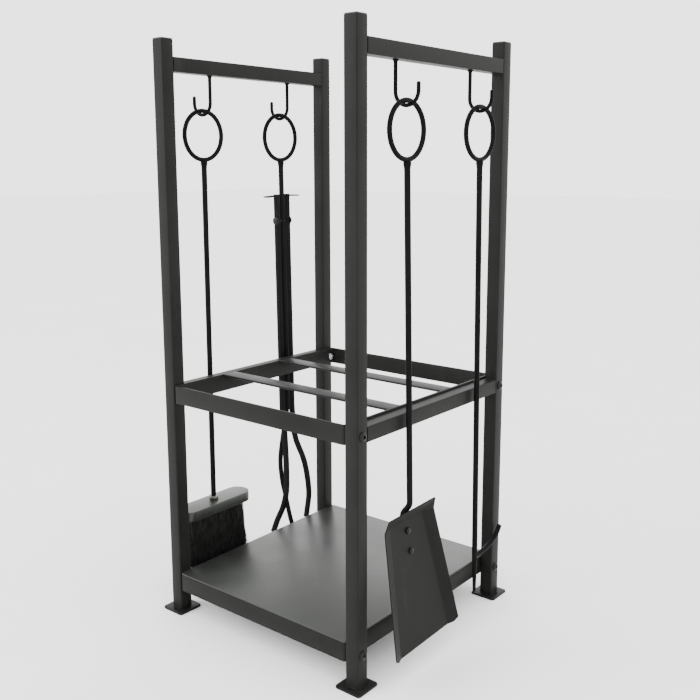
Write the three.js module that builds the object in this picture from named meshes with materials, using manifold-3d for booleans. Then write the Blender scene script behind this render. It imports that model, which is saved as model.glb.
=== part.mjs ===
// Log rack with four hung fireplace tools: brush, tongs, shovel and poker.
// Millimetres, +Z up. X runs across the rack, Y from the open front to the rear.
import * as THREE from 'three';
import { mergeVertices } from 'three/addons/utils/BufferGeometryUtils.js';
import { ConvexGeometry } from 'three/addons/geometries/ConvexGeometry.js';
import Module from 'manifold-3d';

const wasm = await Module();
wasm.setup();

// ---- Driving dimensions ----
const rackWidth = 356;
const rackDepth = 345.4;
const rackHeight = 824;
const gap = 0.3; // left between pieces that touch

const tube = 20; // square tube of posts and rails
const tubeWall = 1.5;
const tubeCorner = 1.8;
const capThickness = 1.5;
const capPlugDepth = 12;

const footSize = 40;
const footThickness = 3;
const footCorner = 4;
const footHole = 2.2;
const footHoleInset = 6.5;

const topRailDrop = 24; // top of the rack down to the top face of the upper rail
const midRailHeight = 321.8; // floor to the underside of the middle rail

const flatHeight = 25.4; // flat bar on edge, bent to a loop
const flatThickness = 3;
const flatCorner = 5;
const shelfHeight = 344.5; // floor to the top of the shelf frame
const baseHeight = 59;
const trayThickness = 1.7;
const crossBarFromFront = 105; // front of the loop to the centre of each cross bar
const crossBarFromRear = 118.7;

const boltSize = 6;
const boltHeadRadius = 6.5;
const boltHeadHeight = 3.4;
const boltLength = 31;
const boltSocket = 4;
const boltSocketDepth = 1.8;
const boltClearance = 0.35;
const boltBelowTop = 13; // top edge of a loop down to its bolts
const nutFlats = 10;
const nutThickness = 5;

const hookWire = 5;
const hangOut = 7; // side of the rack out to the hanging line of the tools
const hookStem = 37.4; // rail down to the start of the bend
const hookTipRise = 10.5;

const ringWire = 6.5;
const ringRadius = 35; // to the centre of the wire
const rod = 8;

const brushPostClearance = 5.7;
const brushToTongs = 49;
const brushBlockWidth = 38;
const brushBlockThickness = 15;
const brushBlockCorner = 18;
const brushBlockHeight = 125.5; // floor to the underside of the block
const bristleFloor = 42;
const bristleInset = 9;
const bristleFlare = 9;
const brushNutFlats = 13;
const brushNutThickness = 6.5;

const shovelPostClearance = 12.8;
const shovelLean = 1.5; // degrees, lower end to the rear
const panFoldHeight = 196.3;
const panLength = 164;
const panFoldHalf = 36.1;
const panMouthHalf = 53.4;
const panTilt = 10.4; // floor of the pan from vertical
const panFoldOut = 179 - rackWidth / 2; // side of the rack out to the fold
const panSheet = 1.4;
const panRear = 21.9;
const panRearAngle = 46.7;
const panRearHalf = 51; // half the rear wall's width at its top
const panSide = 19.4;
const panSideAngle = 68.2;
const panTrimAlong = 4.2; // corner cut off each side wall at the mouth
const panTrimDown = 8.5;
const panRivets = [13.6, 40.9];
const panRodEnd = 50;
const rivetSize = 4;
const rivetHead = 9;
const rivetHeadHeight = 2.4;

const tailFromPost = 71.7; // rear posts' front face to the tongs' and the poker's hooks
const pokerLean = 0.87;
const pokerTip = 34;
const pokerTaper = 66;
const pokerTipRadius = 2.2;
const pokerHookHeight = 90.5;
const pokerHookReach = 71.6;
const pokerHookRise = 25;
const pokerHookRadius = 3.6;

const tongsLean = 0.93;
const pivotBelowHook = 163;
const armSection = 7;
const armOffset = 11.5;
const armAbovePivot = 42.3;
const tabLength = 27;
const tabThickness = 2.2;
const tabWidth = 10;
const tabDroop = 2; // degrees
const jawTop = 255; // floor to where the prongs leave the straight arms
const jawTip = 44;
const prongSpread = 41;
const prongBulge = 19;
const pivotHead = 13;
const pivotHeadHeight = 2.2;
const pivotPin = 4.4;

// ---- Derived places ----
const rad = THREE.MathUtils.degToRad;
const halfWidth = rackWidth / 2;
const halfDepth = rackDepth / 2;
const postX = halfWidth - tube / 2;
const postY = halfDepth - tube / 2;
const innerX = halfWidth - tube;
const innerY = halfDepth - tube;
const topRailHeight = rackHeight - topRailDrop - tube;
const hangX = halfWidth + hangOut;
const hookRadius = hangX - postX;
const hookBendZ = topRailHeight - hookStem;
const hookSeatZ = hookBendZ - hookRadius + hookWire / 2;
const ringZ = hookSeatZ + gap + ringWire / 2 - ringRadius;
const rodTopZ = ringZ - ringRadius - ringWire / 2 - gap;
const sides = [['left', -1], ['right', 1]];
const ends = [['front', -1], ['rear', 1]];
const loopX = innerX - gap;

// ---- Finishes ----
const satinBlack = new THREE.MeshStandardMaterial({ color: 0x34373a, roughness: 0.5, metalness: 0.4 });
const darkBlack = new THREE.MeshStandardMaterial({ color: 0x17181a, roughness: 0.55, metalness: 0.3 });
const trayGrey = new THREE.MeshStandardMaterial({ color: 0x4a4d50, roughness: 0.5, metalness: 0.4 });
const zinc = new THREE.MeshStandardMaterial({ color: 0xb8bbbd, roughness: 0.3, metalness: 1.0 });
const blockGrey = new THREE.MeshStandardMaterial({ color: 0x6b6f6c, roughness: 0.6, metalness: 0.0 });
const bristleBlack = new THREE.MeshStandardMaterial({ color: 0x0d0d0e, roughness: 0.8, metalness: 0.0 });

// ---- Shape helpers ----
const model = new THREE.Group();

function piece(name, geometry, finish, parent = model) {
  const mesh = new THREE.Mesh(geometry, finish);
  mesh.name = name;
  parent.add(mesh);
  return mesh;
}

function solid(geometry) {
  const bare = geometry.clone();
  bare.deleteAttribute('normal');
  bare.deleteAttribute('uv');
  const merged = mergeVertices(bare, 1e-4);
  const index = Array.from(merged.index.array);
  const triangles = [];
  for (let i = 0; i < index.length; i += 3) {
    const [a, b, c] = index.slice(i, i + 3);
    if (a !== b && b !== c && c !== a) triangles.push(a, b, c);
  }
  const vertProperties = new Float32Array(merged.attributes.position.array);
  const triVerts = new Uint32Array(triangles);
  return new wasm.Manifold(new wasm.Mesh({ numProp: 3, vertProperties, triVerts }));
}

function fromSolid(body) {
  const mesh = body.getMesh();
  const points = [];
  for (let i = 0; i < mesh.vertProperties.length; i += mesh.numProp) {
    points.push(...mesh.vertProperties.subarray(i, i + 3));
  }
  const geometry = new THREE.BufferGeometry();
  geometry.setAttribute('position', new THREE.Float32BufferAttribute(points, 3));
  geometry.setIndex(Array.from(mesh.triVerts));
  const flat = geometry.toNonIndexed();
  flat.computeVertexNormals();
  return flat;
}

function cut(geometry, ...cutters) {
  let body = solid(geometry);
  for (const cutter of cutters) body = body.subtract(solid(cutter));
  return fromSolid(body);
}

function join(...geometries) {
  let body = solid(geometries[0]);
  for (const other of geometries.slice(1)) body = body.add(solid(other));
  return fromSolid(body);
}

// A rounded rectangle, as a Shape or as the Path of a hole.
function roundedRectangle(outline, width, depth, radius, arcs = 3) {
  const points = [];
  const corners = [[1, 1, 0], [-1, 1, 90], [-1, -1, 180], [1, -1, 270]];
  for (const [sx, sy, start] of corners) {
    for (let i = 0; i <= arcs; i++) {
      const angle = rad(start + (90 * i) / arcs);
      const x = sx * (width / 2 - radius) + radius * Math.cos(angle);
      const y = sy * (depth / 2 - radius) + radius * Math.sin(angle);
      points.push(new THREE.Vector2(x, y));
    }
  }
  return outline.setFromPoints(points);
}

function polygon(radius, sides, turn = 0) {
  const points = [];
  for (let i = 0; i < sides; i++) {
    const angle = turn + (2 * Math.PI * i) / sides;
    points.push(new THREE.Vector2(radius * Math.cos(angle), radius * Math.sin(angle)));
  }
  return points;
}

const roundSection = (radius, sides = 10) => new THREE.Shape(polygon(radius, sides));

function upright(shape, height) {
  return new THREE.ExtrudeGeometry(shape, { depth: height, bevelEnabled: false });
}

// A cylinder along Z from its lower end at the origin.
function bar(radius, length, facets = 14) {
  return upright(roundSection(radius, facets), length);
}

// A cylinder along X, centred on a point.
function crossPin(radius, length, x, y, z, facets = 14) {
  return bar(radius, length, facets).translate(0, 0, -length / 2).rotateY(Math.PI / 2).translate(x, y, z);
}

function squareTube(length) {
  const shape = roundedRectangle(new THREE.Shape(), tube, tube, tubeCorner);
  const bore = tube - 2 * tubeWall;
  shape.holes.push(roundedRectangle(new THREE.Path(), bore, bore, 0.6, 1));
  return upright(shape, length);
}

// A route through points, with one ring of the swept section at each of them.
class Route extends THREE.Curve {
  constructor(points) {
    super();
    this.points = points;
  }

  getPoint(t) {
    const place = THREE.MathUtils.clamp(t, 0, 1) * (this.points.length - 1);
    const i = Math.min(Math.floor(place), this.points.length - 2);
    return this.points[i].clone().lerp(this.points[i + 1], place - i);
  }

  getUtoTmapping(u) {
    return u;
  }
}

function sweep(points, section) {
  const route = new Route(points);
  const steps = points.length - 1;
  return new THREE.ExtrudeGeometry(section, { steps, extrudePath: route, bevelEnabled: false });
}

const vec = (x, y, z) => new THREE.Vector3(x, y, z);

// Revolved about the Y axis of the profile, from an outline of [radius, height].
function lathe(outline, facets = 16) {
  return new THREE.LatheGeometry(outline.map(([r, h]) => new THREE.Vector2(r, h)), facets);
}

// Heights from the underside of a domed head up to its crown, as [radius, height].
function dome(radius, height, from, steps = 3) {
  const points = [];
  for (let i = 0; i <= steps; i++) {
    const angle = (Math.PI / 2) * (i / steps);
    points.push([radius * Math.cos(angle), from + height * Math.sin(angle)]);
  }
  points[steps][0] = 0;
  return points;
}

// ---- Posts, caps and feet ----
const boltHeights = [['shelf', shelfHeight - boltBelowTop], ['base', baseHeight - boltBelowTop]];
const boltHole = boltSize / 2 + boltClearance;

for (const [side, sx] of sides) {
  for (const [end, sy] of ends) {
    const place = `${end}_${side}`;
    const postLength = rackHeight - capThickness - gap - footThickness - gap;
    const tubing = squareTube(postLength).translate(0, 0, footThickness + gap);
    const holes = boltHeights.map(([, z]) => crossPin(boltHole, 2 * tube, 0, 0, z));
    piece(`post_${place}`, cut(tubing, ...holes), satinBlack).position.set(sx * postX, sy * postY, 0);

    const plate = roundedRectangle(new THREE.Shape(), footSize, footSize, footCorner);
    const holeOut = footSize / 2 - footHoleInset;
    const holeAt = end === 'front' ? new THREE.Vector2(0, -holeOut) : new THREE.Vector2(sx * holeOut, 0);
    plate.holes.push(new THREE.Path(polygon(footHole, 12).map((point) => point.add(holeAt))));
    piece(`foot_${place}`, upright(plate, footThickness), satinBlack).position.set(sx * postX, sy * postY, 0);

    const lidSize = tube - 2 * gap;
    const lid = upright(roundedRectangle(new THREE.Shape(), lidSize, lidSize, tubeCorner), capThickness);
    const plugSize = tube - 2 * tubeWall - 2 * gap;
    const plug = upright(roundedRectangle(new THREE.Shape(), plugSize, plugSize, 0.6, 1), capPlugDepth + 0.5);
    const cap = join(lid, plug.translate(0, 0, -capPlugDepth));
    piece(`cap_${place}`, cap, darkBlack).position.set(sx * postX, sy * postY, rackHeight - capThickness);
  }
}

// ---- Rails along the sides ----
for (const [side, sx] of sides) {
  const railLength = 2 * innerY - 2 * gap;
  const railLevels = [['top_rail', topRailHeight], ['middle_rail', midRailHeight]];
  for (const [level, z] of railLevels) {
    const rail = squareTube(railLength).translate(0, 0, -railLength / 2).rotateX(Math.PI / 2);
    piece(`${level}_${side}`, rail, satinBlack).position.set(sx * postX, 0, z + tube / 2);
  }
}

// ---- Flat bar loops, cross bars and tray ----
function flatLoop(top) {
  const shape = roundedRectangle(new THREE.Shape(), 2 * loopX, 2 * halfDepth, flatCorner);
  const inside = 2 * flatThickness;
  const hole = roundedRectangle(
    new THREE.Path(), 2 * loopX - inside, 2 * halfDepth - inside, flatCorner - flatThickness);
  shape.holes.push(hole);
  const loop = upright(shape, flatHeight).translate(0, 0, top - flatHeight);
  const cutters = [];
  for (const sx of [-1, 1]) {
    for (const sy of [-1, 1]) {
      cutters.push(crossPin(boltHole, 4 * flatThickness, sx * loopX, sy * postY, top - boltBelowTop));
    }
  }
  return cut(loop, ...cutters);
}

piece('shelf_frame', flatLoop(shelfHeight), satinBlack);
piece('base_frame', flatLoop(baseHeight), satinBlack);

const crossBarLength = 2 * (loopX - flatThickness - gap);
const crossBarPlaces = [['front', -halfDepth + crossBarFromFront], ['rear', halfDepth - crossBarFromRear]];
for (const [end, y] of crossBarPlaces) {
  const flat = new THREE.BoxGeometry(crossBarLength, flatHeight, flatThickness);
  piece(`shelf_bar_${end}`, flat, satinBlack).position.set(0, y, shelfHeight - flatThickness / 2);
}

const trayShape = roundedRectangle(new THREE.Shape(), 2 * loopX, 2 * halfDepth, flatCorner);
piece('base_tray', upright(trayShape, trayThickness), trayGrey).position.z = baseHeight + gap;

// ---- Bolts and nuts ----
const boltHead = [[0, -boltLength], [boltSize / 2, -boltLength], [boltSize / 2, 0], [boltHeadRadius, 0],
  ...dome(boltHeadRadius, boltHeadHeight, 0.4)];
const socket = upright(new THREE.Shape(polygon(boltSocket / Math.sqrt(3), 6)), 2 * boltSocketDepth);
const socketDeep = socket.rotateX(-Math.PI / 2).translate(0, boltHeadHeight + 0.4 - boltSocketDepth, 0);
const boltShape = cut(lathe(boltHead), socketDeep).rotateZ(-Math.PI / 2);
const nutOutline = new THREE.Shape(polygon(nutFlats / Math.sqrt(3), 6));
nutOutline.holes.push(new THREE.Path(polygon(boltHole, 12)));
const nutX = loopX - flatThickness - gap - nutThickness;

for (const [level, z] of boltHeights) {
  for (const [side, sx] of sides) {
    for (const [end, sy] of ends) {
      const place = `${level}_${end}_${side}`;
      const bolt = piece(`bolt_${place}`, boltShape, satinBlack);
      bolt.position.set(sx * (halfWidth + gap), sy * postY, z);
      bolt.rotation.z = sx > 0 ? 0 : Math.PI;
      const nutShape = upright(nutOutline, nutThickness).rotateY(Math.PI / 2);
      const nut = piece(`nut_${place}`, nutShape, zinc);
      nut.position.set(sx > 0 ? nutX : -nutX - nutThickness, sy * postY, z);
    }
  }
}

// ---- Hanging hooks ----
function hookGeometry(sx) {
  const points = [vec(0, 0, hookBendZ + hookStem - gap)];
  const steps = 14;
  for (let i = 0; i <= steps; i++) {
    const angle = Math.PI * (1 + i / steps);
    points.push(vec(sx * hookRadius * (1 + Math.cos(angle)), 0, hookBendZ + hookRadius * Math.sin(angle)));
  }
  points.push(vec(sx * 2 * hookRadius, 0, hookBendZ + hookTipRise));
  return sweep(points, roundSection(hookWire / 2, 8));
}

// ---- Tools: each hangs in its own group from its hook's seat ----
function hangTool(name, sx, y, lean) {
  piece(`hook_${name}`, hookGeometry(sx), darkBlack).position.set(sx * postX, y, 0);
  const tool = new THREE.Group();
  tool.position.set(sx * hangX, y, hookSeatZ);
  tool.rotation.x = rad(lean);
  model.add(tool);
  const ring = new THREE.TorusGeometry(ringRadius, ringWire / 2, 8, 30).rotateY(Math.PI / 2);
  piece(`${name}_ring`, ring, darkBlack, tool).position.z = ringZ - hookSeatZ;
  return tool;
}

// Heights inside a tool's group are given from the floor.
const drop = (z) => z - hookSeatZ;

// A headed pin along Z: shank from zero up to its length, with a domed head past each end.
function headedPin(radius, length, headRadius, headHeight) {
  const outline = [...dome(headRadius, headHeight, length + gap).reverse(), [headRadius, length + gap - 0.01],
    [radius, length + gap - 0.01], [radius, -gap], [headRadius, -gap]];
  const tail = dome(headRadius, headHeight, gap).map(([r, h]) => [r, -h]);
  return lathe([...outline, ...tail].reverse(), 12).rotateX(Math.PI / 2);
}

// Brush: its block fills the bay between the front post and the tongs.
const tailY = innerY - tailFromPost;
const jawReach = prongSpread + armSection / 2;
const blockFront = -innerY + brushPostClearance;
const blockRear = tailY - jawReach - brushToTongs;
const blockLength = blockRear - blockFront;
const brushY = (blockFront + blockRear) / 2;
const brush = hangTool('brush', -1, brushY, 0);
const blockTop = brushBlockHeight + brushBlockThickness;

const brushRodEnd = brushBlockHeight + 1;
piece('brush_rod', bar(rod / 2, rodTopZ - brushRodEnd), satinBlack, brush).position.z = drop(brushRodEnd);

const rodBore = () => new THREE.Path(polygon(rod / 2 + gap, 14));
const brushNut = new THREE.Shape(polygon(brushNutFlats / Math.sqrt(3), 6));
brushNut.holes.push(rodBore());
piece('brush_nut', upright(brushNut, brushNutThickness), zinc, brush).position.z = drop(blockTop + gap);

const block = roundedRectangle(new THREE.Shape(), brushBlockWidth, blockLength, brushBlockCorner, 6);
block.holes.push(rodBore());
const blockSlab = upright(block, brushBlockThickness);
piece('brush_block', blockSlab, blockGrey, brush).position.z = drop(brushBlockHeight);

const bristleDepth = brushBlockHeight - gap - bristleFloor;
const tuftShape = roundedRectangle(
  new THREE.Shape(), brushBlockWidth - 2 * bristleInset, blockLength - 2 * bristleInset, 8, 4);
const bristles = upright(tuftShape, bristleDepth);
const tufts = bristles.attributes.position;
for (let i = 0; i < tufts.count; i++) {
  if (tufts.getZ(i) > 0) continue;
  tufts.setX(i, tufts.getX(i) * (1 + (2 * bristleFlare) / (brushBlockWidth - 2 * bristleInset)));
  tufts.setY(i, tufts.getY(i) * (1 + (2 * bristleFlare) / (blockLength - 2 * bristleInset)));
}
piece('brush_bristles', bristles, bristleBlack, brush).position.z = drop(bristleFloor);

// Shovel: a folded sheet pan riveted to the flat run of the rod behind it.
const panFlare = panSide * Math.sin(rad(panSideAngle));
const panDrift = (hookSeatZ - panFoldHeight + panLength) * Math.tan(rad(shovelLean));
const shovelY = -innerY + shovelPostClearance + panMouthHalf + panFlare - panDrift;
const shovel = hangTool('shovel', 1, shovelY, shovelLean);
const panSlope = (panMouthHalf - panFoldHalf) / panLength;

// Pan coordinates: X out of the floor, Y across it, Z from the mouth up to the fold.
function panHull(inset, over) {
  const grow = over > 0 ? 1.5 : 1;
  const foldHalf = panFoldHalf - inset * Math.tan(rad(45 - panSideAngle / 2));
  const mouthHalf = foldHalf + panSlope * (panLength + over);
  const foldZ = -inset * Math.tan(rad(45 - panRearAngle / 2));
  const points = [];
  for (const sy of [-1, 1]) {
    const onSide = (half, up, z) => vec(
      inset + up * Math.cos(rad(panSideAngle)), sy * (half + up * Math.sin(rad(panSideAngle))), z);
    points.push(onSide(foldHalf, 0, foldZ), onSide(foldHalf, panSide * grow, foldZ));
    points.push(vec(
      inset + panRear * grow * Math.cos(rad(panRearAngle)),
      sy * (foldHalf + (panRearHalf - panFoldHalf) * grow),
      foldZ + panRear * grow * Math.sin(rad(panRearAngle))));
    points.push(onSide(mouthHalf, 0, -panLength - over));
    if (over > 0) {
      points.push(onSide(mouthHalf, panSide * grow, -panLength - over));
    } else {
      points.push(onSide(mouthHalf, panSide - panTrimDown, -panLength));
      points.push(onSide(mouthHalf - panSlope * panTrimAlong, panSide, -panLength + panTrimAlong));
    }
  }
  return new ConvexGeometry(points);
}

const rivetHoles = panRivets.map((along) =>
  crossPin(rivetSize / 2 + gap, 40, 0, 0, -along));
const panBody = cut(panHull(0, 0), panHull(panSheet, 6), ...rivetHoles);
const panGroup = new THREE.Group();
const foldX = halfWidth + panFoldOut - hangX;
panGroup.position.set(foldX, 0, drop(panFoldHeight));
panGroup.rotation.y = -rad(panTilt);
shovel.add(panGroup);
piece('shovel_pan', panBody, satinBlack, panGroup);

// The rod runs down, steps in behind the pan and follows its floor past the second rivet.
const rodBack = -rod / 2 - gap;
const alongPan = (u) => vec(
  foldX + rodBack * Math.cos(rad(panTilt)) + u * Math.sin(rad(panTilt)),
  0,
  drop(panFoldHeight) + rodBack * Math.sin(rad(panTilt)) - u * Math.cos(rad(panTilt)));
const stepTop = vec(0, 0, drop(panFoldHeight + 27));
const stepFoot = alongPan(-5);
const step = new THREE.CubicBezierCurve3(
  stepTop, vec(0, 0, stepTop.z - 9), alongPan(-14), stepFoot);
const shovelRoute = [vec(0, 0, drop(rodTopZ)), ...step.getPoints(8), alongPan(panRodEnd)];
const shovelRodHoles = rivetHoles.map((hole) =>
  hole.clone().rotateY(-rad(panTilt)).translate(foldX, 0, drop(panFoldHeight)));
const shovelRod = cut(sweep(shovelRoute, roundSection(rod / 2, 14)), ...shovelRodHoles);
piece('shovel_rod', shovelRod, satinBlack, shovel);

panRivets.forEach((along, i) => {
  const length = rod + gap + panSheet;
  const rivet = headedPin(rivetSize / 2, length, rivetHead / 2, rivetHeadHeight).rotateY(Math.PI / 2);
  const place = ['upper', 'lower'][i];
  piece(`shovel_rivet_${place}`, rivet, darkBlack, panGroup).position.set(-rod - gap, 0, -along);
});

// Poker: a tapered rod with a side hook.
const poker = hangTool('poker', 1, tailY, pokerLean);
const pokerOutline = [[0, pokerTip], [pokerTipRadius, pokerTip + 1], [rod / 2, pokerTip + pokerTaper],
  [rod / 2, rodTopZ], [0, rodTopZ]];
const pokerRod = lathe(pokerOutline.map(([r, z]) => [r, drop(z)]), 14).rotateX(Math.PI / 2);
piece('poker_rod', pokerRod, satinBlack, poker);

const hookStart = rod / 2 + gap + pokerHookRadius * 0.1;
const pokerBend = new THREE.QuadraticBezierCurve3(
  vec(0, hookStart, drop(pokerHookHeight)),
  vec(0, pokerHookReach - 17, drop(pokerHookHeight - 2.5)),
  vec(0, pokerHookReach, drop(pokerHookHeight + pokerHookRise)));
piece('poker_hook', sweep(pokerBend.getPoints(12), roundSection(pokerHookRadius, 10)), satinBlack, poker);

// Tongs: the ring's rod ends as one prong, and two arms on one pivot end as a fork.
const tongs = hangTool('tongs', -1, tailY, tongsLean);
const pivotZ = hookSeatZ - pivotBelowHook;
const jawDepth = jawTop - jawTip;
// Bulge of a prong at a share of the way down the jaw: full at 0.45, past straight at the tip.
const singleProng = [[0, 0], [0.12, 0.2], [0.27, 0.62], [0.47, 1],
  [0.64, 0.85], [0.78, 0.44], [0.92, 0.04], [1, -0.26]];
const forkProng = [[0, 0, 0], [0.26, 0.25, 0.02], [0.47, 0.82, 0.35], [0.66, 1, 0.53],
  [0.78, 0.83, 0.69], [0.9, 0.35, 0.89], [1, 0, 1]];

const singleCurve = new THREE.CatmullRomCurve3(
  singleProng.map(([down, out]) => vec(-prongBulge * out, 0, drop(jawTop - down * jawDepth))));
const tongsRoute = [vec(0, 0, drop(rodTopZ)), ...singleCurve.getPoints(22)];
const pivotBore = bar(pivotPin / 2 + gap, 60).translate(0, 0, -30).rotateX(Math.PI / 2)
  .translate(0, 0, drop(pivotZ));
piece('tongs_rod', cut(sweep(tongsRoute, roundSection(rod / 2, 12)), pivotBore), satinBlack, tongs);

const armShape = new THREE.Shape(polygon(armSection / Math.SQRT2, 4, Math.PI / 4));
for (const [end, sy] of ends) {
  const prongAt = ([down, out, wide]) => {
    const spread = armOffset + wide * (prongSpread - armOffset);
    return vec(prongBulge * out, sy * spread, drop(jawTop - down * jawDepth));
  };
  const curve = new THREE.CatmullRomCurve3(forkProng.map(prongAt));
  const armTop = vec(0, sy * armOffset, drop(pivotZ + armAbovePivot));
  const arm = sweep([armTop, ...curve.getPoints(20)], armShape);
  const tab = new THREE.BoxGeometry(tabWidth, tabLength, tabThickness)
    .translate(0, sy * tabLength / 2, 0)
    .rotateX(-sy * rad(tabDroop))
    .translate(0, sy * (armOffset - armSection / 3), drop(pivotZ + armAbovePivot - tabThickness));
  piece(`tongs_arm_${end}`, cut(join(arm, tab), pivotBore), satinBlack, tongs);
}
const pivotLength = 2 * armOffset + armSection;
const pivot = headedPin(pivotPin / 2, pivotLength, pivotHead / 2, pivotHeadHeight)
  .translate(0, 0, -pivotLength / 2).rotateX(Math.PI / 2);
piece('tongs_pivot', pivot, darkBlack, tongs).position.z = drop(pivotZ);

// The origin is at floor level under the middle of everything.
const box = new THREE.Box3().setFromObject(model, true);
model.position.set(-(box.min.x + box.max.x) / 2, -(box.min.y + box.max.y) / 2, 0);

export default model;
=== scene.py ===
"""Log rack of square tube with a hearth brush, tongs, a shovel and a poker hung on its sides."""
import math
import random

import bmesh
import bpy
from mathutils import Matrix, Vector


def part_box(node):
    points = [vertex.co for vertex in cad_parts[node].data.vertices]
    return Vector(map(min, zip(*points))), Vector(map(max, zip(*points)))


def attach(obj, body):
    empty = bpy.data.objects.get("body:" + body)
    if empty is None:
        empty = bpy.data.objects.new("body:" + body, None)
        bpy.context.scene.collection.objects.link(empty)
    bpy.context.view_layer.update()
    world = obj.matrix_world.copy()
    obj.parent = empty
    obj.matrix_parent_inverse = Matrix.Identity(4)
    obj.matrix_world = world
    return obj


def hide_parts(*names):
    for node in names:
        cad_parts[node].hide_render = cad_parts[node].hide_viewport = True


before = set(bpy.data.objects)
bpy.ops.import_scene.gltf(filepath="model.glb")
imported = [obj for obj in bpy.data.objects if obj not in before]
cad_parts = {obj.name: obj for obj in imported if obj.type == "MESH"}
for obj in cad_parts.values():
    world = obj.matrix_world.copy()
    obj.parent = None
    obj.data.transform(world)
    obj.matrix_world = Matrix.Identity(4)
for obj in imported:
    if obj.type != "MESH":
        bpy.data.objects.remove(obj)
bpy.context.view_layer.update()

MM = 0.001


# ---- View, floor and light ----
# The rack stands on a plain pale studio floor under a bright even sky, with
# one broad lamp on the left of its open front.
camera_data = bpy.data.cameras.new("camera")
camera_data.sensor_width = 36.0
camera_data.lens = 46.6
camera_data.shift_x = -0.020
camera_data.shift_y = -0.052
camera_data.clip_start = 0.05
camera = bpy.data.objects.new("camera", camera_data)
camera.location = (0.8316, -0.986, 0.660)
camera.rotation_euler = (math.radians(80.44), 0.0, math.radians(38.5))
bpy.context.scene.collection.objects.link(camera)
bpy.context.scene.camera = camera


class Signal:
    """A shader socket that takes part in Python arithmetic."""

    def __init__(self, finish, socket):
        self.finish = finish
        self.socket = socket

    def _math(self, operation, *values):
        return self.finish.node("ShaderNodeMath", {"operation": operation}, dict(enumerate(values)))

    def __add__(self, other):
        return self._math("ADD", self, other)

    __radd__ = __add__

    def __sub__(self, other):
        return self._math("SUBTRACT", self, other)

    def __rsub__(self, other):
        return self._math("SUBTRACT", other, self)

    def __mul__(self, other):
        return self._math("MULTIPLY", self, other)

    __rmul__ = __mul__


class Finish:
    """A material under construction: its node tree and its main shader."""

    def __init__(self, name):
        self.material = bpy.data.materials.new(name)
        self.material.use_nodes = True
        self.tree = self.material.node_tree
        self.shader = self.tree.nodes["Principled BSDF"]

    def node(self, kind, settings, inputs, output=0):
        """Adds a node, sets its settings, then the values or links of its sockets."""
        made = self.tree.nodes.new(kind)
        for name, value in settings.items():
            if name == "stops":
                ramp = made.color_ramp
                while len(ramp.elements) < len(value):
                    ramp.elements.new(0.5)
                for element, (position, colour) in zip(ramp.elements, value):
                    element.position = position
                    element.color = (*colour, 1.0)
            else:
                setattr(made, name, value)
        for name, value in inputs.items():
            self.feed(made.inputs[name], value)
        return Signal(self, made.outputs[output])

    def feed(self, socket, value):
        if isinstance(value, Signal):
            self.tree.links.new(value.socket, socket)
        else:
            socket.default_value = value

    def set(self, **inputs):
        """Sets the main shader's sockets; an underscore stands for a space."""
        for name, value in inputs.items():
            self.feed(self.shader.inputs[name.replace("_", " ")], value)

    def place(self, scale=(1, 1, 1)):
        """The point on the piece, stretched by a scale along each axis."""
        where = self.node("ShaderNodeTexCoord", {}, {}, "Object")
        return self.node("ShaderNodeMapping", {}, {"Vector": where, "Scale": scale})

    def noise(self, where, scale, detail=2.0, roughness=0.5):
        sizes = {"Vector": where, "Scale": scale, "Detail": detail, "Roughness": roughness}
        return self.node("ShaderNodeTexNoise", {}, sizes)

    def ramp(self, factor, *stops):
        return self.node("ShaderNodeValToRGB", {"stops": stops}, {"Fac": factor})

    def spread(self, value, low, high, to_low, to_high):
        """Maps a value between two limits on to two others."""
        sizes = {"Value": value, "From Min": low, "From Max": high, "To Min": to_low, "To Max": to_high}
        return self.node("ShaderNodeMapRange", {"clamp": True}, sizes)

    def mix(self, factor, first, second):
        settings = {"data_type": "RGBA"}
        return self.node("ShaderNodeMix", settings, {"Factor": factor, 6: first, 7: second}, 2)

    def bump(self, height, distance, strength=1.0, over=None):
        sizes = {"Height": height, "Distance": distance, "Strength": strength}
        if over is not None:
            sizes["Normal"] = over
        return self.node("ShaderNodeBump", {}, sizes)


floor_size = 30.0
floor_mesh = bmesh.new()
bmesh.ops.create_grid(floor_mesh, x_segments=1, y_segments=1, size=floor_size / 2)
floor_data = bpy.data.meshes.new("floor")
floor_mesh.to_mesh(floor_data)
floor_mesh.free()
floor = bpy.data.objects.new("floor", floor_data)
bpy.context.scene.collection.objects.link(floor)
studio = Finish("studio_floor")
studio_cloud = studio.noise(studio.place(), 3.0)
studio.set(
    Base_Color=studio.ramp(studio_cloud, (0.3, (0.90, 0.90, 0.895)), (0.7, (0.93, 0.93, 0.925))),
    Roughness=0.75,
)
floor.data.materials.append(studio.material)

sky = bpy.data.worlds.new("studio_sky")
sky.use_nodes = True
sky_light = sky.node_tree.nodes["Background"].inputs
sky_light["Color"].default_value = (1.0, 1.0, 1.0, 1.0)
sky_light["Strength"].default_value = 3.0
bpy.context.scene.world = sky


def soft_lamp(name, place, aim, size, power):
    lamp = bpy.data.lights.new(name, "AREA")
    lamp.shape = "RECTANGLE"
    lamp.size, lamp.size_y = size
    lamp.energy = power
    lamp_object = bpy.data.objects.new(name, lamp)
    lamp_object.location = place
    lamp_object.rotation_euler = (Vector(aim) - Vector(place)).to_track_quat("-Z", "Y").to_euler()
    bpy.context.scene.collection.objects.link(lamp_object)


soft_lamp("left_lamp", (-1.5, -2.2, 1.5), (0, 0, 0.45), (1.4, 1.8), 40)


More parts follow.
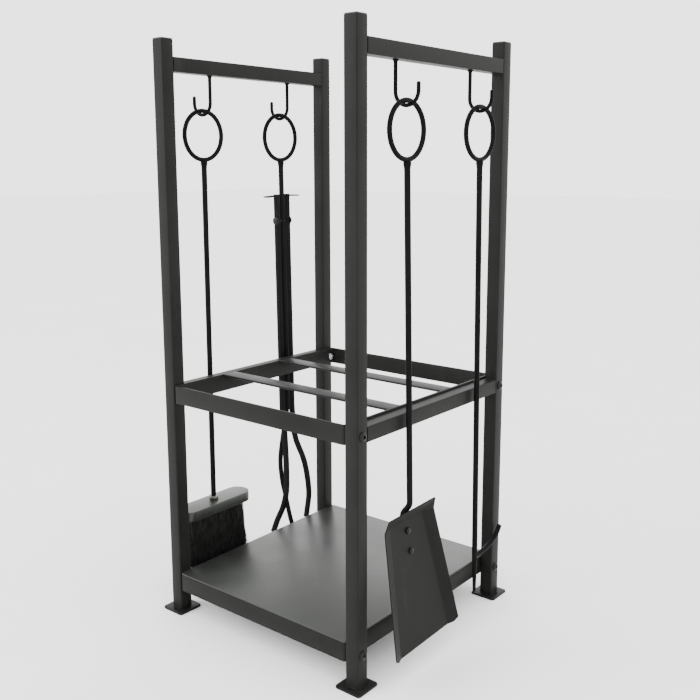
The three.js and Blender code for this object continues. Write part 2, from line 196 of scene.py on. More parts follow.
# ---- Powder-coated tube: posts and rails ----
# The posts and the rails between them are 20 mm square steel tube, welded and
# then powder coated in charcoal. The coat is satin with a fine orange-peel skin.
def powder_coat(name, tint, gloss, shine=0.10, skin=1.0):
    """Satin powder coat: fine orange peel, faint cloudiness in its colour and sheen."""
    coat = Finish(name)
    here = coat.place()
    peel = coat.noise(here, 900.0, 3.0, 0.55)
    ripple = coat.noise(here, 160.0, 2.0, 0.5)
    cloud = coat.noise(here, 14.0, 4.0, 0.6)
    dust = coat.noise(coat.place(scale=(1, 1, 0.25)), 45.0, 5.0, 0.65)
    dark = tuple(0.82 * channel for channel in tint)
    pale = tuple(1.25 * channel for channel in tint)
    body_colour = coat.ramp(cloud, (0.32, dark), (0.68, pale))
    dust_mask = coat.spread(dust, 0.60, 0.80, 0.0, 0.22)
    dust_colour = (0.045, 0.045, 0.042, 1.0)
    sheen = coat.spread(cloud, 0.3, 0.7, gloss - 0.05, gloss + 0.06) + 0.06 * peel
    coat.set(
        Base_Color=coat.mix(dust_mask, body_colour, dust_colour),
        Roughness=sheen + 0.2 * dust_mask,
        Metallic=0.0,
        Specular_IOR_Level=shine,
        Specular_Tint=(0.97, 1.0, 0.92, 1.0),
        Normal=coat.bump(peel, 0.00006, 0.5 * skin, coat.bump(ripple, 0.00025, 0.35 * skin)),
    )
    return coat.material


charcoal = powder_coat("charcoal_powder_coat", (0.0082, 0.0086, 0.0080), 0.42, 0.08)
corner_radius = 1.8 * MM


def edges_along(bm, axis):
    """The edges of a mesh that run along an axis."""
    found = []
    for edge in bm.edges:
        run = (edge.verts[1].co - edge.verts[0].co).normalized()
        if abs(run[axis]) > 0.999:
            found.append(edge)
    return found


def level_edges(bm):
    """The edges of a mesh that lie level, such as the rims of a plate."""
    return [edge for edge in bm.edges if abs(edge.verts[0].co.z - edge.verts[1].co.z) < 1e-7]


def ease(bm, edges, radius, segments=3):
    bmesh.ops.bevel(bm, geom=edges, offset=radius, segments=segments, profile=0.5,
                    affect="EDGES", material=-1)


def block_between(low, high):
    """A block that fills the box between two corners."""
    bm = bmesh.new()
    bmesh.ops.create_cube(bm, size=1.0)
    bmesh.ops.scale(bm, vec=high - low, verts=bm.verts)
    bmesh.ops.translate(bm, vec=(low + high) / 2, verts=bm.verts)
    return bm


def finish_piece(name, bm, body, material, nodes=(), crease=35.0):
    """Makes the object, gives it its finish and lets it ride on its body."""
    bmesh.ops.recalc_face_normals(bm, faces=bm.faces)
    for face in bm.faces:
        face.smooth = True
    mesh = bpy.data.meshes.new(name)
    bm.to_mesh(mesh)
    bm.free()
    mesh.set_sharp_from_angle(angle=math.radians(crease))
    mesh.materials.append(material)
    made = bpy.data.objects.new(name, mesh)
    bpy.context.scene.collection.objects.link(made)
    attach(made, body)
    if nodes:
        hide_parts(*nodes)
    return made


ENDS = ("front_left", "front_right", "rear_left", "rear_right")
for end in ENDS:
    low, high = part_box(f"post_{end}")
    post = block_between(low, high)
    ease(post, edges_along(post, 2), corner_radius, 4)
    finish_piece(f"post_tube_{end}", post, "frame", charcoal, [f"post_{end}"])

for side in ("left", "right"):
    for level in ("top", "middle"):
        low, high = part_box(f"{level}_rail_{side}")
        rail = block_between(low, high)
        ease(rail, edges_along(rail, 1), corner_radius, 4)
        node = f"{level}_rail_{side}"
        finish_piece(f"{level}_rail_tube_{side}", rail, "frame", charcoal, [node])


# ---- Weld seams ----
# Thin fillet welds close the rails' ends against the posts and the posts'
# feet against their plates. They are coated over, so they look like soft ripples.
def drawn_wire(points, radii, closed=False, resolution=5):
    """A round wire drawn through points, with a radius at each, as a bmesh."""
    curve = bpy.data.curves.new("wire", "CURVE")
    curve.dimensions = "3D"
    curve.bevel_depth = 1.0
    curve.bevel_resolution = resolution
    curve.use_fill_caps = not closed
    spline = curve.splines.new("POLY")
    spline.points.add(len(points) - 1)
    for point, place, radius in zip(spline.points, points, radii):
        point.co = (*place, 1.0)
        point.radius = radius
    spline.use_cyclic_u = closed
    holder = bpy.data.objects.new("wire", curve)
    mesh = bpy.data.meshes.new_from_object(holder)
    bm = bmesh.new()
    bm.from_mesh(mesh)
    bmesh.ops.remove_doubles(bm, verts=bm.verts, dist=1e-7)
    bpy.data.objects.remove(holder)
    bpy.data.curves.remove(curve)
    bpy.data.meshes.remove(mesh)
    return bm


def add_body(bm, other):
    """Adds one bmesh's faces to another."""
    mesh = bpy.data.meshes.new("part")
    other.to_mesh(mesh)
    other.free()
    bm.from_mesh(mesh)
    bpy.data.meshes.remove(mesh)


def weld_seam(bm, start, end, radius):
    """Adds a rippled bead from one point to another."""
    pitch = 1.3 * MM
    steps = max(4, int((end - start).length / pitch))
    points = [start.lerp(end, i / steps) for i in range(steps + 1)]
    radii = [radius * (1.0 if i % 2 else 0.86) for i in range(steps + 1)]
    radii[0] = radii[-1] = 0.4 * radius
    add_body(bm, drawn_wire(points, radii, resolution=2))


seam = 0.9 * MM
narrow_seam = 0.45 * MM
seam_inset = corner_radius
seams = bmesh.new()
for side in ("left", "right"):
    for level in ("top", "middle"):
        low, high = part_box(f"{level}_rail_{side}")
        for y in (low.y, high.y):
            for x in (low.x, high.x):
                start = Vector((x, y, low.z + seam_inset))
                weld_seam(seams, start, Vector((x, y, high.z - seam_inset)), narrow_seam)
            for z in (low.z, high.z):
                start = Vector((low.x + seam_inset, y, z))
                weld_seam(seams, start, Vector((high.x - seam_inset, y, z)), seam)
for end in ENDS:
    low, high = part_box(f"post_{end}")
    for x in (low.x, high.x):
        start = Vector((x, low.y + seam_inset, low.z))
        weld_seam(seams, start, Vector((x, high.y - seam_inset, low.z)), seam)
    for y in (low.y, high.y):
        start = Vector((low.x + seam_inset, y, low.z))
        weld_seam(seams, start, Vector((high.x - seam_inset, y, low.z)), seam)
finish_piece("weld_seams", seams, "frame", charcoal)


# ---- End caps ----
# A black moulded plastic cap with a finely grained top is pushed into each
# post. Its eased flange covers the tube's end.
moulded = Finish("moulded_cap")
moulded_grain = moulded.noise(moulded.place(), 1400.0, 2.0)
moulded_cloud = moulded.noise(moulded.place(), 60.0, 3.0)
moulded.set(
    Base_Color=moulded.ramp(moulded_cloud, (0.3, (0.010, 0.010, 0.011)),
                            (0.7, (0.018, 0.018, 0.019))),
    Roughness=moulded.spread(moulded_grain, 0.3, 0.7, 0.48, 0.62),
    Normal=moulded.bump(moulded_grain, 0.00005, 0.6),
)
cap_flange = 1.5 * MM
cap_edge = 0.6 * MM
for end in ENDS:
    low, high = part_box(f"cap_{end}")
    cap = block_between(Vector((low.x, low.y, high.z - cap_flange)), high)
    ease(cap, edges_along(cap, 2), corner_radius, 4)
    top_edges = [e for e in cap.edges if all(abs(v.co.z - high.z) < 1e-6 for v in e.verts)]
    ease(cap, top_edges, cap_edge, 3)
    finish_piece(f"cap_top_{end}", cap, "frame", moulded.material, [f"cap_{end}"])


# ---- Foot plates ----
# Each post stands on a square steel plate with rounded corners. One small
# hole in its margin lets it be screwed to the floor.
hole_radius = 2.2 * MM
hole_from_edge = 6.5 * MM
plate_corner = 4 * MM
plate_edge = 0.4 * MM
for end in ENDS:
    low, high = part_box(f"foot_{end}")
    middle = (low + high) / 2
    if "front" in end:
        hole = Vector((middle.x, low.y + hole_from_edge, middle.z))
    else:
        edge_x = low.x if "left" in end else high.x
        inward = 1 if "left" in end else -1
        hole = Vector((edge_x + inward * hole_from_edge, middle.y, middle.z))
    plate = block_between(low, high)
    ease(plate, edges_along(plate, 2), plate_corner, 6)
    ease(plate, level_edges(plate), plate_edge, 2)
    drill = bmesh.new()
    bmesh.ops.create_cone(drill, cap_ends=True, segments=24, radius1=hole_radius,
                          radius2=hole_radius, depth=0.02)
    bmesh.ops.translate(drill, vec=hole, verts=drill.verts)
    foot = finish_piece(f"foot_plate_{end}", plate, "frame", charcoal, [f"foot_{end}"])
    drill_mesh = bpy.data.meshes.new("drill")
    drill.to_mesh(drill_mesh)
    drill.free()
    drill_object = bpy.data.objects.new("drill", drill_mesh)
    bpy.context.scene.collection.objects.link(drill_object)
    boring = foot.modifiers.new("hole", "BOOLEAN")
    boring.object = drill_object
    boring.operation = "DIFFERENCE"
    bpy.context.view_layer.update()
    bored = bpy.data.meshes.new_from_object(foot.evaluated_get(bpy.context.evaluated_depsgraph_get()))
    foot.modifiers.clear()
    foot.data = bored
    bpy.data.objects.remove(drill_object)


# ---- Shelf frame, base frame and their bars ----
# Both loops are flat bar set on edge and bent round four tight corners. Two
# flat bars lie across the shelf loop, welded flush with its upper edge.
flat_thickness = 3 * MM
flat_corner = 5 * MM
flat_edge = 0.35 * MM
for name in ("shelf_frame", "base_frame"):
    low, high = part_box(name)
    loop = block_between(low, high)
    ease(loop, edges_along(loop, 2), flat_corner, 8)
    flats = [f for f in loop.faces if abs(f.normal.z) > 0.9]
    bmesh.ops.delete(loop, geom=flats, context="FACES_ONLY")
    bmesh.ops.recalc_face_normals(loop, faces=loop.faces)
    bmesh.ops.solidify(loop, geom=loop.faces[:], thickness=flat_thickness)
    bmesh.ops.recalc_face_normals(loop, faces=loop.faces)
    ease(loop, [e for e in level_edges(loop) if e.calc_face_angle(0) > 1.0], flat_edge, 2)
    finish_piece(f"{name}_bar", loop, "frame", charcoal, [name])

# The bars across the shelf take a paler copy of the charcoal: painted light for the light falling on their
# upward faces.
flat_bar_charcoal_painted_light = powder_coat("charcoal_flat_bar_painted_light", (0.0095, 0.0098, 0.0095), 0.40)
shelf_bar_edge = 0.6 * MM
for end in ("front", "rear"):
    low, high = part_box(f"shelf_bar_{end}")
    bar = block_between(low, high)
    ease(bar, edges_along(bar, 0), shelf_bar_edge, 3)
    node = f"shelf_bar_{end}"
    finish_piece(f"shelf_flat_{end}", bar, "frame", flat_bar_charcoal_painted_light, [node])


# ---- Tray ----
# A flat sheet lies on the base loop and is tacked to it. Its coat is the same charcoal, a little smoother,
# so that it takes up the light of the room. Its colour is painted about twice as light: painted light on its
# upward face.
tray_coat_painted_light = powder_coat("charcoal_tray_painted_light", (0.016, 0.0172, 0.0162), 0.37, 0.42)
tray_edge = 0.5 * MM
low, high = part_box("base_tray")
tray = block_between(low, high)
ease(tray, edges_along(tray, 2), flat_corner, 8)
ease(tray, level_edges(tray), tray_edge, 2)
finish_piece("tray_sheet", tray, "frame", tray_coat_painted_light, ["base_tray"])


# ---- Bolts and nuts ----
# Eight socket bolts with domed heads run through the posts and the loops,
# each drawn up by a zinc-plated nut inside the loop.
head_radius = 6.5 * MM
head_height = 3.4 * MM
head_rim = 0.4 * MM
head_stand = 3.8 * MM
shank_radius = 3 * MM
shank_length = 8 * MM
tail_radius = 2.6 * MM
tail_reach = 7 * MM
tail_root = 2 * MM
tail_chamfer = 0.4 * MM
socket_radius = 2.3 * MM
socket_depth = 1.8 * MM


def turned(outline, segments=32):
    """Spins an outline of (radius, height) about Z into a closed body."""
    bm = bmesh.new()
    verts = [bm.verts.new((radius, 0, height)) for radius, height in outline]
    edges = [bm.edges.new(pair) for pair in zip(verts, verts[1:])]
    bmesh.ops.spin(bm, geom=verts + edges, cent=(0, 0, 0), axis=(0, 0, 1), angle=2 * math.pi,
                   steps=segments, use_merge=True)
    bmesh.ops.remove_doubles(bm, verts=bm.verts, dist=1e-7)
    return bm


def dome_outline(radius, height, base, steps=7):
    """Quarter-ellipse points from the rim of a domed head up to its crown."""
    quarter = math.pi / 2
    angles = [quarter * i / steps for i in range(steps + 1)]
    points = [(radius * math.cos(a), base + height * math.sin(a)) for a in angles]
    points[-1] = (0.0, base + height)
    return points


def hex_prism(across_flats, thickness):
    """A hexagon from its lower face at zero, its upper corners eased as on a turned blank."""
    bm = bmesh.new()
    radius = across_flats / math.sqrt(3)
    bmesh.ops.create_cone(bm, cap_ends=True, segments=6, radius1=radius, radius2=radius,
                          depth=thickness)
    bmesh.ops.translate(bm, vec=(0, 0, thickness / 2), verts=bm.verts)
    ease(bm, [e for e in bm.edges if e.calc_face_angle(0) > 0.5], 0.5 * MM, 2)
    return bm


zinc = Finish("bright_zinc")
zinc_spangle = zinc.noise(zinc.place(), 420.0, 3.0, 0.6)
zinc.set(
    Base_Color=zinc.ramp(zinc_spangle, (0.3, (0.50, 0.51, 0.52)), (0.7, (0.72, 0.73, 0.73))),
    Metallic=1.0,
    Roughness=zinc.spread(zinc_spangle, 0.3, 0.7, 0.20, 0.38),
    Normal=zinc.bump(zinc_spangle, 0.00003, 0.5),
)
bolt_coat = powder_coat("bolt_coat", (0.004, 0.004, 0.0042), 0.24, 0.16, 0.5)
for level in ("shelf", "base"):
    for end in ENDS:
        low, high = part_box(f"bolt_{level}_{end}")
        outward = 1 if "right" in end else -1
        seat_x = high.x - head_stand if outward > 0 else low.x + head_stand
        seat = Vector((seat_x, (low.y + high.y) / 2, (low.z + high.z) / 2))
        dome = dome_outline(head_radius, head_height, head_rim)
        crown = [point for point in dome if point[0] > socket_radius]
        lip = crown[-1][1]
        outline = [(0, -shank_length), (shank_radius, -shank_length), (shank_radius, 0),
                   (head_radius, 0), *crown,
                   (socket_radius, lip + 0.1 * MM), (socket_radius * 0.9, lip - socket_depth),
                   (0, lip - socket_depth)]
        bolt = turned(outline)
        turn = Matrix.Rotation(outward * math.pi / 2, 4, "Y")
        bmesh.ops.transform(bolt, matrix=Matrix.Translation(seat) @ turn, verts=bolt.verts)
        node = f"bolt_{level}_{end}"
        finish_piece(f"bolt_head_{level}_{end}", bolt, "frame", bolt_coat, [node])

        low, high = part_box(f"nut_{level}_{end}")
        nut = hex_prism(high.y - low.y, high.x - low.x)
        add_body(nut, turned([(0, -tail_root), (tail_radius, -tail_root),
                              (tail_radius, tail_reach - tail_chamfer),
                              (tail_radius - tail_chamfer, tail_reach), (0, tail_reach)], 20))
        seat_x = high.x if outward > 0 else low.x
        seat = Vector((seat_x, (low.y + high.y) / 2, (low.z + high.z) / 2))
        turn = Matrix.Rotation(-outward * math.pi / 2, 4, "Y")
        bmesh.ops.transform(nut, matrix=Matrix.Translation(seat) @ turn, verts=nut.verts)
        node = f"nut_{level}_{end}"
        finish_piece(f"nut_body_{level}_{end}", nut, "frame", zinc.material, [node])


# ---- Hanging hooks ----
# Four J hooks of 5 mm wire are bent outwards and welded under the top rails.
# Their tips are cut square and rounded over by the coat.
wire_coat = powder_coat("black_wire_coat", (0.0035, 0.0036, 0.0036), 0.36, 0.025, 0.4)
hook_wire = 5 * MM
tip_rise = 10.5 * MM
bend_steps = 28
weld_profile = ((0, 0), (4.3, 0), (3.9, -0.8), (3.1, -1.8), (2.6, -3.4), (0, -3.4))
TOOLS = {"brush": -1, "tongs": -1, "shovel": 1, "poker": 1}


def rounded_end(points, radius):
    """Radii along a wire that close its last stretch to a blunt round tip."""
    end = points[-1]
    radii = []
    for point in points:
        left = (end - point).length
        inside = min(1.0, left / (0.8 * radius))
        radii.append(radius * max(0.08, math.sqrt(1 - (1 - inside) ** 2)))
    return radii


def with_tip(points, radius, steps=5):
    """Adds close points before a wire's end so that the tip can be rounded."""
    end = points[-1]
    back = (points[-2] - end).normalized()
    kept = [p for p in points[:-1] if (p - end).length > radius]
    return kept + [end + back * radius * 0.8 * (1 - i / steps) ** 2 for i in range(steps + 1)]


for tool, outward in TOOLS.items():
    low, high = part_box(f"hook_{tool}")
    middle_y = (low.y + high.y) / 2
    bend_radius = (high.x - low.x - hook_wire) / 2
    bend = Vector(((low.x + high.x) / 2, middle_y, low.z + hook_wire / 2 + bend_radius))
    stem_x = bend.x - outward * bend_radius
    route = [Vector((stem_x, middle_y, high.z))]
    for i in range(bend_steps + 1):
        angle = math.pi * (1 + i / bend_steps)
        route.append(bend + Vector((outward * math.cos(angle), 0, math.sin(angle))) * bend_radius)
    route.append(Vector((bend.x + outward * bend_radius, middle_y, bend.z + tip_rise)))
    route = with_tip(route, hook_wire / 2)
    hook = drawn_wire(route, rounded_end(route, hook_wire / 2), resolution=6)
    finish_piece(f"hook_wire_{tool}", hook, "frame", wire_coat, [f"hook_{tool}"])

    collar = turned([(radius * MM, height * MM) for radius, height in weld_profile], 20)
    bmesh.ops.translate(collar, vec=(stem_x, middle_y, high.z + 0.3 * MM), verts=collar.verts)
    finish_piece(f"hook_weld_{tool}", collar, "frame", wire_coat)


# ---- Rings ----
# Every tool hangs by a ring of 6.5 mm wire, closed by a butt weld where the
# rod joins it. The weld is a soft blob under the coat.
ring_wire = 6.5 * MM
ring_points = 96
butt_profile = ((0, -9), (4.02, -8.6), (4.25, -6), (4.8, -3.6), (5.1, -1.2), (4.8, 1.0), (3.9, 3.2), (0, 4.6))
ring_coat = powder_coat("black_ring_coat", (0.0035, 0.0036, 0.0036), 0.34, 0.03, 0.4)
rod_radius = 4 * MM


def hang(tool):
    """The frame of a tool: its origin on the hook, -Z down its rod, in its slight lean."""
    hook_low, hook_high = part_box(f"hook_{tool}")
    ring_low, ring_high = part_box(f"{tool}_ring")
    ring_middle = (ring_low + ring_high) / 2
    seat = Vector((ring_middle.x, (hook_low.y + hook_high.y) / 2, hook_low.z + hook_wire))
    lean = math.atan2(ring_middle.y - seat.y, seat.z - ring_middle.z)
    return Matrix.Translation(seat) @ Matrix.Rotation(lean, 4, "X")


def set_in(bm, place):
    bmesh.ops.transform(bm, matrix=place, verts=bm.verts)
    return bm


ring_foot = {}
for tool in TOOLS:
    low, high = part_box(f"{tool}_ring")
    ring_radius = (high.z - low.z - ring_wire) / 2
    centre_drop = (low.z + high.z) / 2 - hang(tool).translation.z
    centre = Vector((0, 0, centre_drop))
    circle = []
    for i in range(ring_points):
        angle = 2 * math.pi * i / ring_points
        circle.append(centre + Vector((0, math.cos(angle), math.sin(angle))) * ring_radius)
    ring = drawn_wire(circle, [ring_wire / 2] * ring_points, closed=True, resolution=8)
    ring_foot[tool] = centre_drop - ring_radius - ring_wire / 2
    blob = turned([(radius * MM, height * MM) for radius, height in butt_profile], 24)
    bmesh.ops.translate(blob, vec=(0, 0, ring_foot[tool]), verts=blob.verts)
    add_body(ring, blob)
    set_in(ring, hang(tool))
    finish_piece(f"{tool}_ring_wire", ring, tool, ring_coat, [f"{tool}_ring"])


# ---- Brush ----
# An oblong painted block is threaded on to the rod and locked by a dull zinc
# nut. Stiff black fibres are set in its underside in tufts and splay out below.
rod_coat = powder_coat("charcoal_rod_coat", (0.0050, 0.0052, 0.0052), 0.40, 0.025, 0.4)
brush_place = hang("brush")
low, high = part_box("brush_rod")
rod_foot = low.z - brush_place.translation.z
rod_top = Vector((0, 0, ring_foot["brush"]))
shaft = drawn_wire([rod_top, Vector((0, 0, rod_foot))], [rod_radius] * 2, resolution=8)
finish_piece("brush_shaft", set_in(shaft, brush_place), "brush", rod_coat, ["brush_rod"])

low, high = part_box("brush_nut")
nut = hex_prism(high.y - low.y, high.z - low.z)
middle = (low + high) / 2
bmesh.ops.translate(nut, vec=(middle.x, middle.y, low.z), verts=nut.verts)
dull_zinc = Finish("dull_zinc")
dull_cloud = dull_zinc.noise(dull_zinc.place(), 260.0, 3.0, 0.6)
dull_zinc.set(
    Base_Color=dull_zinc.ramp(dull_cloud, (0.3, (0.10, 0.098, 0.085)),
                              (0.7, (0.24, 0.235, 0.205))),
    Metallic=1.0,
    Roughness=dull_zinc.spread(dull_cloud, 0.3, 0.7, 0.22, 0.40),
    Normal=dull_zinc.bump(dull_cloud, 0.00004, 0.5),
)
finish_piece("brush_lock_nut", nut, "brush", dull_zinc.material, ["brush_nut"])

block_corner = 18 * MM
block_edge = 0.9 * MM
block_coat = Finish("brush_block_paint")
block_grain = block_coat.noise(block_coat.place(scale=(1, 0.12, 1)), 320.0, 4.0, 0.6)
block_cloud = block_coat.noise(block_coat.place(), 30.0, 3.0, 0.6)
block_coat.set(
    Base_Color=block_coat.ramp(block_cloud, (0.3, (0.009, 0.0098, 0.0090)),
                               (0.7, (0.016, 0.0172, 0.0160))),
    Roughness=block_coat.spread(block_grain, 0.3, 0.7, 0.28, 0.42),
    Specular_IOR_Level=0.50,
    Specular_Tint=(0.97, 1.0, 0.92, 1.0),
    Normal=block_coat.bump(block_grain, 0.00010, 0.5),
)
low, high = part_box("brush_block")
block = block_between(low, high)
ease(block, edges_along(block, 2), block_corner, 12)
ease(block, level_edges(block), block_edge, 3)
finish_piece("brush_head_block", block, "brush", block_coat.material, ["brush_block"])

# The fibre colour is a random dark tone along each strand. Its lighter streaks are painted glints, standing
# in for highlights on the glossy black fibres.
fibre = Finish("black_fibre")
fibre_tone_and_glint = fibre.noise(fibre.place(scale=(1, 1, 0.1)), 700.0, 2.0)
fibre.set(
    Base_Color=fibre.ramp(fibre_tone_and_glint, (0.46, (0.003, 0.003, 0.003)),
                          (0.74, (0.032, 0.031, 0.029))),
    Roughness=fibre.spread(fibre_tone_and_glint, 0.3, 0.7, 0.38, 0.58),
    Specular_IOR_Level=0.15,
)
chance = random.Random(12)
tuft_low, tuft_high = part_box("brush_bristles")
root_inset_x = 10 * MM
root_inset_y = 14 * MM
root_low = Vector((low.x + root_inset_x, low.y + root_inset_y, tuft_high.z))
root_high = Vector((high.x - root_inset_x, high.y - root_inset_y, tuft_high.z))
root_middle = (root_low + root_high) / 2
tufts = 230
fibres_per_tuft = 23
splay_x = 0.40
splay_y = 0.085
stray_share = 0.07
stray_reach = 3.4
fibre_radii = (0.30, 0.29, 0.26, 0.14)
bristles = bpy.data.curves.new("bristles", "CURVE")
bristles.dimensions = "3D"
bristles.bevel_depth = 1.0
bristles.bevel_resolution = 0
bristles.use_fill_caps = True
for _ in range(tufts):
    tuft_x = chance.uniform(root_low.x, root_high.x)
    tuft_y = chance.uniform(root_low.y, root_high.y)
    tuft = Vector((tuft_x, tuft_y, root_low.z))
    lean = Vector((chance.gauss(0, 1.3 * MM), chance.gauss(0, 1.5 * MM), 0))
    for _ in range(fibres_per_tuft):
        root = tuft + Vector((chance.uniform(-4, 4) * MM, chance.uniform(-5, 5) * MM, 0))
        root.x = min(max(root.x, root_low.x), root_high.x)
        root.y = min(max(root.y, root_low.y), root_high.y)
        splay = root - root_middle
        stray = stray_reach if chance.random() < stray_share else 1.0
        end = root + lean + Vector((splay.x * splay_x, splay.y * splay_y, 0))
        end += stray * Vector((chance.gauss(0, 1.4 * MM), chance.gauss(0, 1.8 * MM), 0))
        end.z = tuft_low.z + chance.uniform(-0.5, 7) * MM
        end.x = min(max(end.x, tuft_low.x), tuft_high.x)
        end.y = min(max(end.y, tuft_low.y - 2 * MM), tuft_high.y + 2 * MM)
        fibre_line = bristles.splines.new("POLY")
        fibre_line.points.add(3)
        for i, point in enumerate(fibre_line.points):
            down = i / 3
            bow = down * down * 0.6 + down * 0.4
            place = root.lerp(end, down)
            place.x = root.x + (end.x - root.x) * bow
            place.y = root.y + (end.y - root.y) * bow
            point.co = (*place, 1.0)
            point.radius = fibre_radii[i] * MM
holder = bpy.data.objects.new("bristles", bristles)
fibres = bmesh.new()
fibre_mesh = bpy.data.meshes.new_from_object(holder)
fibres.from_mesh(fibre_mesh)
bpy.data.objects.remove(holder)
bpy.data.curves.remove(bristles)
bpy.data.meshes.remove(fibre_mesh)
finish_piece("brush_fibres", fibres, "brush", fibre.material, ["brush_bristles"], crease=80)

core_inset = 1.5 * MM
core_lift = 22 * MM
core_low = Vector((root_low.x + core_inset, root_low.y + core_inset, tuft_low.z + core_lift))
core = block_between(core_low, root_high - Vector((core_inset, core_inset, 0)))
finish_piece("brush_tuft_core", core, "brush", fibre.material)


# ---- Shovel ----
# The pan is folded from one steel sheet, with a low rear wall and flared
# sides. The cranked rod runs behind its floor and two domed rivets hold it.
shovel_place = hang("shovel")
ring_drop = shovel_place.translation.z
fold_height = 196.3 * MM
fold_out = 6 * MM
pan_tilt = math.radians(10.4)
pan_length = 164 * MM
fold_half = 36.1 * MM
mouth_half = 53.4 * MM
rear_wall = 21.9 * MM
rear_angle = math.radians(46.7)
rear_half = 51 * MM
side_wall = 19.4 * MM
side_angle = math.radians(68.2)
trim_along = 4.2 * MM
trim_down = 8.5 * MM
pan_sheet = 1.4 * MM
fold_radius = 1.3 * MM
flare_in = side_wall * math.cos(side_angle)
flare_out = side_wall * math.sin(side_angle)
pan_place = (shovel_place @ Matrix.Translation((-fold_out, 0, fold_height - ring_drop))
             @ Matrix.Rotation(-pan_tilt, 4, "Y"))
widening = (mouth_half - fold_half) / pan_length
pan = bmesh.new()
corners = {}
for hand in (-1, 1):
    outline = {
        "fold": (0, fold_half, 0),
        "mouth": (0, mouth_half, -pan_length),
        "rear": (rear_wall * math.cos(rear_angle), rear_half, rear_wall * math.sin(rear_angle)),
        "top": (flare_in, fold_half + flare_out, 0),
        "lip": (flare_in, mouth_half - widening * trim_along + flare_out, trim_along - pan_length),
        "trim": ((side_wall - trim_down) * math.cos(side_angle),
                 mouth_half + (side_wall - trim_down) * math.sin(side_angle), -pan_length),
    }
    for corner, (x, y, z) in outline.items():
        corners[corner, hand] = pan.verts.new((x, hand * y, z))
    pan.faces.new([corners[c, hand] for c in ("fold", "top", "lip", "trim", "mouth")])
    pan.faces.new([corners[c, hand] for c in ("fold", "rear", "top")])
pan.faces.new([corners[c] for c in (("fold", -1), ("fold", 1), ("mouth", 1), ("mouth", -1))])
pan.faces.new([corners[c] for c in (("fold", 1), ("fold", -1), ("rear", -1), ("rear", 1))])
bmesh.ops.recalc_face_normals(pan, faces=pan.faces)
folds = [e for e in pan.edges if len(e.link_faces) == 2]
ease(pan, folds, fold_radius, 4)
if sum(f.normal.x * f.calc_area() for f in pan.faces) < 0:
    bmesh.ops.reverse_faces(pan, faces=pan.faces)
bmesh.ops.solidify(pan, geom=pan.faces[:], thickness=pan_sheet)
bmesh.ops.recalc_face_normals(pan, faces=pan.faces)
# The pan takes a darker copy of the charcoal: painted shade for the shade lying on the pan's face.
pan_coat_painted_shade = powder_coat("charcoal_pan_painted_dark", (0.0062, 0.0066, 0.0060), 0.42, 0.07)
set_in(pan, pan_place)
finish_piece("shovel_pan_sheet", pan, "shovel", pan_coat_painted_shade, ["shovel_pan"])

crank_rise = 27 * MM
crank_steps = 16
rod_past_fold = 50 * MM
sheet_gap = 0.3 * MM
crank_top = Vector((0, 0, fold_height + crank_rise - ring_drop))
to_tool = shovel_place.inverted() @ pan_place
behind = -(rod_radius + sheet_gap)
guides = (crank_top, crank_top - Vector((0, 0, 9 * MM)),
          to_tool @ Vector((behind, 0, 14 * MM)), to_tool @ Vector((behind, 0, 5 * MM)))
crank = []
for i in range(crank_steps + 1):
    t = i / crank_steps
    weights = ((1 - t) ** 3, 3 * t * (1 - t) ** 2, 3 * t * t * (1 - t), t ** 3)
    crank.append(sum((g * w for g, w in zip(guides, weights)), Vector()))
route = [Vector((0, 0, ring_foot["shovel"])), *crank, to_tool @ Vector((behind, 0, -rod_past_fold))]
route = with_tip(route, rod_radius)
shaft = drawn_wire(route, rounded_end(route, rod_radius), resolution=8)
set_in(shaft, shovel_place)
finish_piece("shovel_shaft", shaft, "shovel", rod_coat, ["shovel_rod"])

rivet_radius = 4.5 * MM
rivet_root = 1.5 * MM
for place, along in (("upper", 13.6 * MM), ("lower", 40.9 * MM)):
    rivet = turned([(0, -rivet_root), (rivet_radius, -rivet_root),
                    *dome_outline(rivet_radius, 2.4 * MM, pan_sheet * 0.7, 6)], 28)
    back_dome = dome_outline(4.2 * MM, 2.0 * MM, 0, 6)
    back = turned([*((radius, -height) for radius, height in back_dome), (0, 0)], 28)
    bmesh.ops.translate(back, vec=(0, 0, -2 * rod_radius - sheet_gap), verts=back.verts)
    add_body(rivet, back)
    turn = Matrix.Rotation(math.pi / 2, 4, "Y")
    set_in(rivet, pan_place @ Matrix.Translation((0, 0, -along)) @ turn)
    node = f"shovel_rivet_{place}"
    finish_piece(f"shovel_rivet_head_{place}", rivet, "shovel", bolt_coat, [node])


# ---- Poker ----
# A round bar drawn down to a blunt point. A second bar, bent in a shallow
# curve, is welded to its side to hook logs forward.
poker_place = hang("poker")
floor_drop = poker_place.translation.z
tip_height = 34 * MM
taper_height = 100 * MM
tip_radius = 2.3 * MM
stations = [(ring_foot["poker"], rod_radius), (taper_height - floor_drop, rod_radius),
            (80 * MM - floor_drop, 3.6 * MM), (50 * MM - floor_drop, 2.8 * MM),
            (tip_height + 2 * MM - floor_drop, tip_radius), (tip_height + 0.8 * MM - floor_drop, 2.0 * MM),
            (tip_height - floor_drop, 0.9 * MM)]
bar = drawn_wire([Vector((0, 0, z)) for z, _ in stations], [r for _, r in stations], resolution=8)
hook_height = 90.5 * MM
reach = 71.6 * MM
rise = 25 * MM
hook_steps = 32
guides = (Vector((0, 0, hook_height - floor_drop)),
          Vector((0, reach - 17 * MM, hook_height - 2.5 * MM - floor_drop)),
          Vector((0, reach, hook_height + rise - floor_drop)))
bend = []
for i in range(hook_steps + 1):
    t = i / hook_steps
    weights = ((1 - t) ** 2, 2 * t * (1 - t), t * t)
    bend.append(sum((g * w for g, w in zip(guides, weights)), Vector()))
bend = with_tip(bend, 3.3 * MM)
side_hook = drawn_wire(bend, rounded_end(bend, 3.6 * MM), resolution=8)
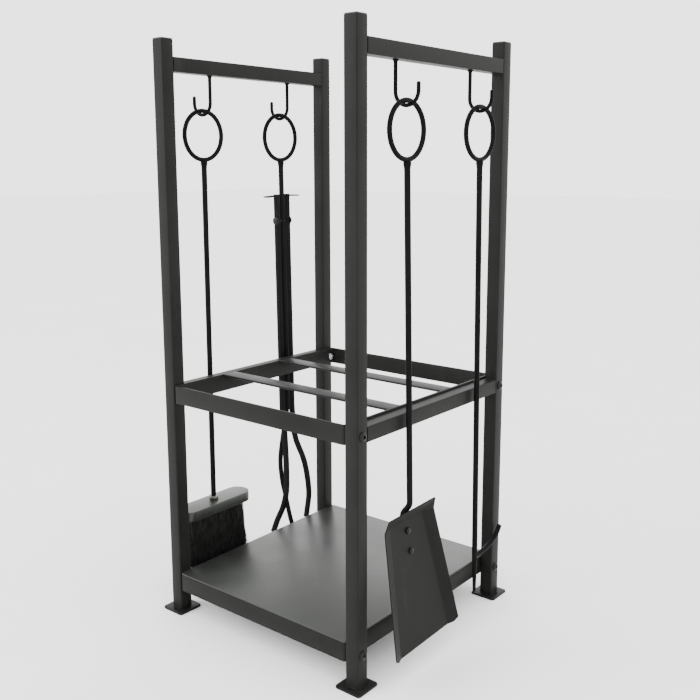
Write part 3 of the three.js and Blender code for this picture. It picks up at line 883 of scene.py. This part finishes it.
poker_coat = powder_coat("charcoal_poker", (0.0042, 0.0044, 0.0044), 0.36, 0.025, 0.4)
set_in(bar, poker_place)
finish_piece("poker_bar", bar, "poker", poker_coat, ["poker_rod"])
set_in(side_hook, poker_place)
finish_piece("poker_side_hook", side_hook, "poker", poker_coat, ["poker_hook"])


# ---- Tongs ----
# The ring's rod runs down to a single bowed prong. Two square arms turn on a
# rivet through it and spread into the fork that closes on that prong.
tongs_place = hang("tongs")
floor_drop = tongs_place.translation.z
jaw_top = 255 * MM
jaw_depth = 211 * MM
bulge = 19 * MM
PRONG = ((0, 0), (0.12, 0.2), (0.27, 0.62), (0.47, 1), (0.64, 0.85), (0.78, 0.44), (0.92, 0.04), (1, -0.26))


def smooth_route(points, steps=8):
    """A curve through the points, with its slope at each set by its neighbours."""
    ends = [points[0] * 2 - points[1], *points, points[-1] * 2 - points[-2]]
    route = []
    for a, b, c, d in zip(ends, ends[1:], ends[2:], ends[3:]):
        for i in range(steps):
            t = i / steps
            route.append(0.5 * (2 * b + (c - a) * t + (2 * a - 5 * b + 4 * c - d) * t ** 2
                                + (3 * b - a - 3 * c + d) * t ** 3))
    return [*route, points[-1]]


bow = []
for down, out in PRONG:
    bow.append(Vector((-bulge * out, 0, jaw_top - down * jaw_depth - floor_drop)))
route = with_tip([Vector((0, 0, ring_foot["tongs"])), *smooth_route(bow)], rod_radius)
shaft = drawn_wire(route, rounded_end(route, rod_radius), resolution=8)
finish_piece("tongs_shaft", set_in(shaft, tongs_place), "tongs", rod_coat, ["tongs_rod"])

for end in ("front", "rear"):
    node = f"tongs_arm_{end}"
    arm = bmesh.new()
    arm.from_mesh(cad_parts[node].data)
    bmesh.ops.remove_doubles(arm, verts=arm.verts, dist=1e-6)
    bmesh.ops.dissolve_limit(arm, angle_limit=math.radians(0.5), verts=arm.verts, edges=arm.edges)
    sharp = [e for e in arm.edges if e.is_manifold and e.calc_face_angle(0) > math.radians(50)]
    bmesh.ops.bevel(arm, geom=sharp, offset=0.5 * MM, segments=2, profile=0.5, affect="EDGES",
                    material=-1, clamp_overlap=True)
    finish_piece(f"tongs_bar_{end}", arm, "tongs_jaw", rod_coat, [node])

low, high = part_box("tongs_pivot")
middle = (low + high) / 2
half = (high.y - low.y) / 2 - 2.5 * MM
rivet_profile = ((0, 2.2), (4.2, 1.8), (6.2, 0.6), (6.5, -0.2), (6.5, -0.9), (2.2, -0.9))
near_head = [(radius * MM, -half - height * MM) for radius, height in rivet_profile]
far_head = [(radius * MM, half + height * MM) for radius, height in reversed(rivet_profile)]
pin = turned([*near_head, *far_head], 32)
turn = Matrix.Translation(middle) @ tongs_place.to_quaternion().to_matrix().to_4x4()
bmesh.ops.transform(pin, matrix=turn @ Matrix.Rotation(math.pi / 2, 4, "X"), verts=pin.verts)
finish_piece("tongs_pivot_rivet", pin, "tongs", bolt_coat, ["tongs_pivot"])
